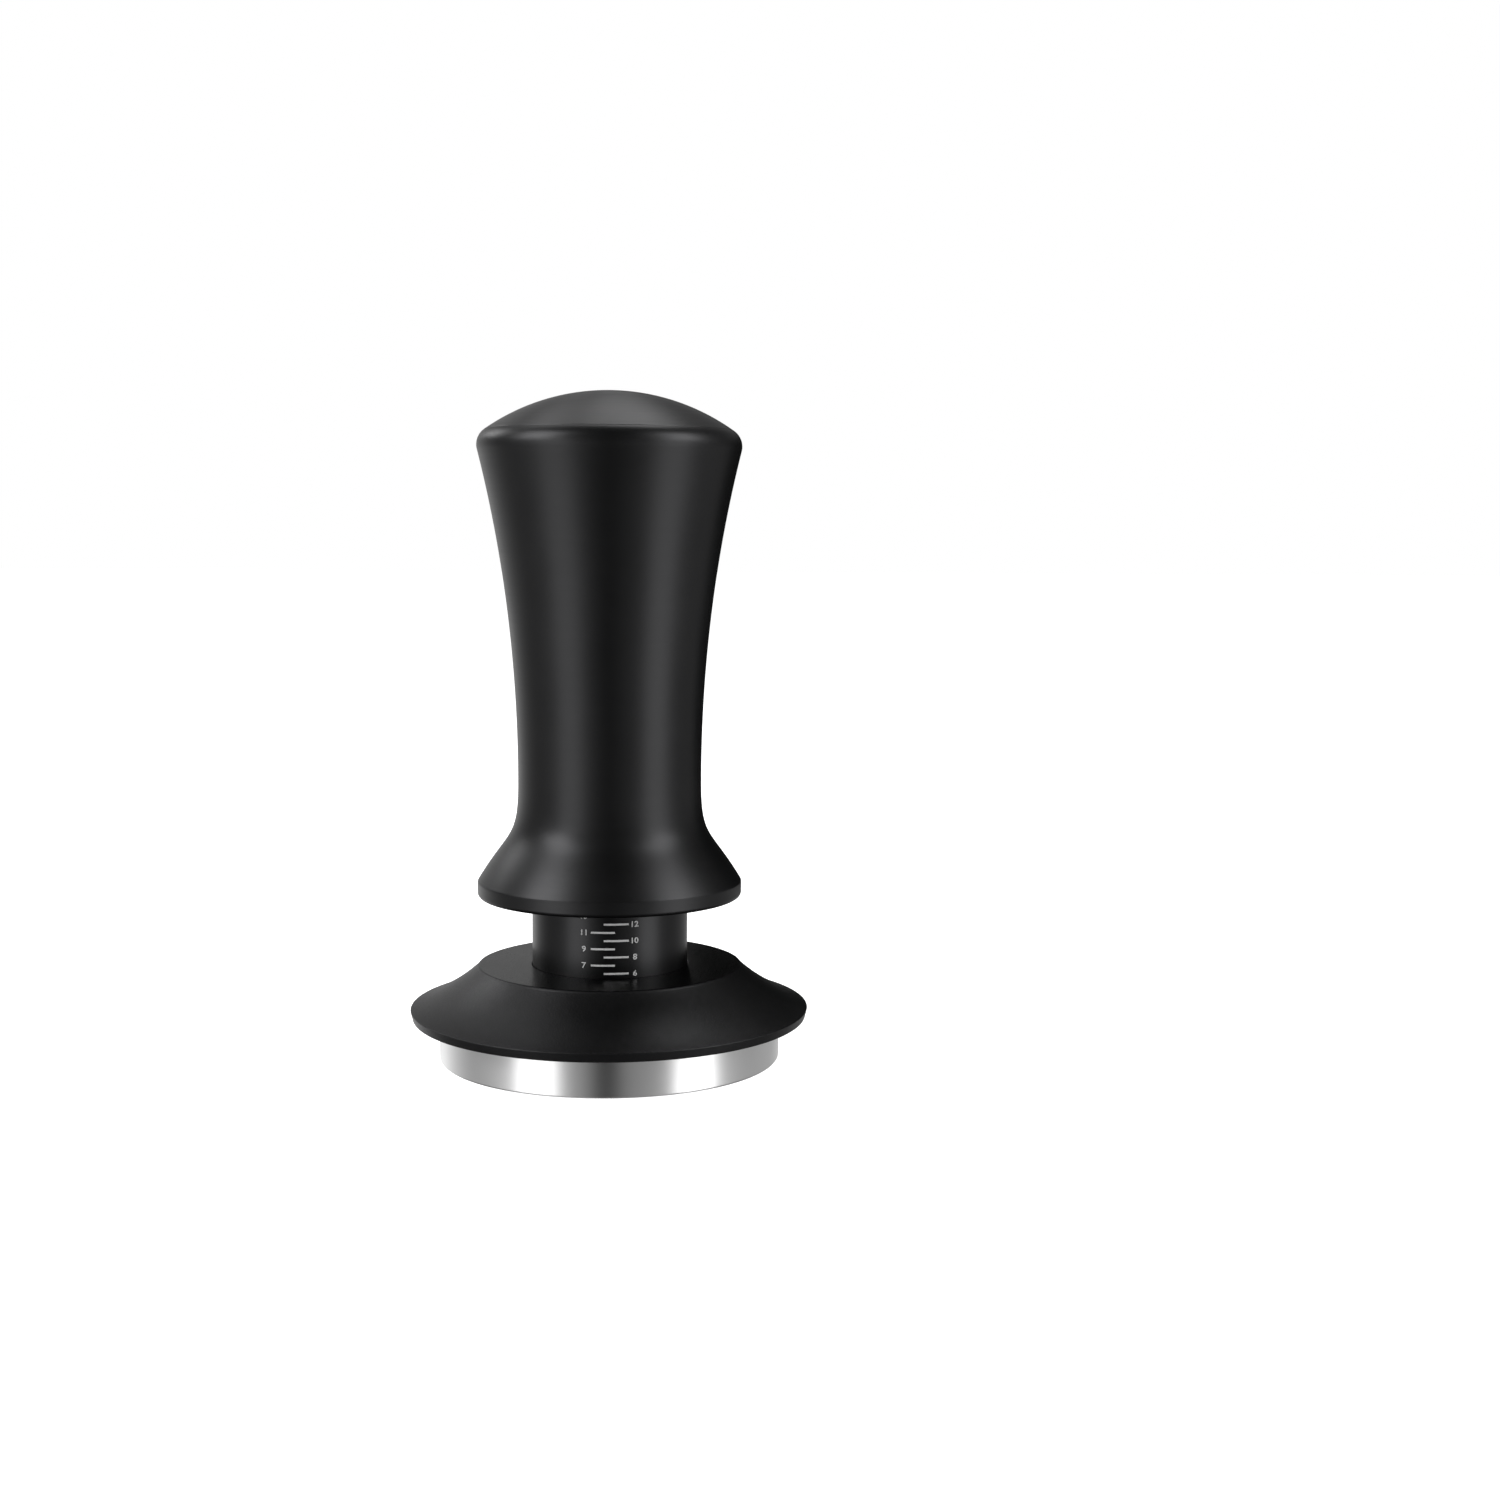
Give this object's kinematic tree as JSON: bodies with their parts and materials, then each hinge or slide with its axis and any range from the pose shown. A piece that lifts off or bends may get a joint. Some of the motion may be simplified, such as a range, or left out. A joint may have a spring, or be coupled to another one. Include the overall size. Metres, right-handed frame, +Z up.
{
  "type": "espresso tamper",
  "caption": "Spring-loaded espresso tamper: flared black handle, sliding scale neck, conical levelling flange and a rippled steel tamping base.",
  "frame": {"origin": "on the axis, at the tamping face that the tamper stands on", "axes": "+Z up the handle's axis, from the tamping face to the dome; the scale on the neck faces -Y"},
  "size_m": [0.0624, 0.0624, 0.1036],
  "materials": {
    "base_steel": "fine turned and satin polished stainless steel",
    "seal_rubber": "matte silicone rubber",
    "screw_steel": "plain machined steel",
    "shaft_steel": "centreless ground bright steel",
    "washer_steel": "zinc plated steel",
    "spring_steel": "drawn spring steel wire",
    "washer_bronze": "sintered bronze thrust washer",
    "screw_black": "black oxide steel",
    "flange_anodised": "bead-blasted matte black anodising",
    "neck_anodised": "satin black anodising with white laser marks",
    "bush_plastic": "natural acetal plastic",
    "handle_anodised": "satin black anodised turned aluminium",
    "guide_plastic": "black acetal plastic",
    "cap_anodised": "fine turned black anodised aluminium"
  },
  "bodies": {
    "base": {"tamping_base": "base_steel", "bumper_ring": "seal_rubber", "base_stud": "screw_steel", "shaft": "shaft_steel", "spring_plate": "washer_steel", "main_spring": "spring_steel", "buffer_washer": "seal_rubber", "retaining_washer": "washer_steel", "retaining_screw": "screw_black", "leveller_spring": "spring_steel"},
    "press_washer": {"main_spring_washer": "washer_bronze"},
    "handle": {"handle_body": "handle_anodised", "handle_guide_bush": "guide_plastic", "shaft_bush": "bush_plastic", "handle_cap": "cap_anodised", "cap_oring": "seal_rubber"},
    "leveller_washer": {"leveller_spring_washer": "washer_steel"},
    "leveller": {"leveller_flange": "flange_anodised", "scale_neck": "neck_anodised", "neck_screws": "screw_steel", "leveller_bush": "bush_plastic"}
  },
  "joints": [
    {"name": "handle_press", "type": "slide", "parent": "base", "child": "press_washer", "axis": [0, 0, -1], "range_m": [0, 0.003], "stiffness_N_per_m": 9400, "springref_m": -0.0106, "deforming": ["main_spring"]},
    {"name": "handle_spin", "type": "hinge", "parent": "press_washer", "child": "handle", "pos_m": [0, 0, 0.076], "axis": [0, 0, 1], "continuous": true},
    {"name": "leveller_lift", "type": "slide", "parent": "base", "child": "leveller_washer", "axis": [0, 0, 1], "range_m": [0, 0.0072], "stiffness_N_per_m": 300, "springref_m": -0.015, "deforming": ["leveller_spring"]},
    {"name": "leveller_spin", "type": "hinge", "parent": "leveller_washer", "child": "leveller", "pos_m": [0, 0, 0.01285], "axis": [0, 0, 1], "continuous": true}
  ]
}
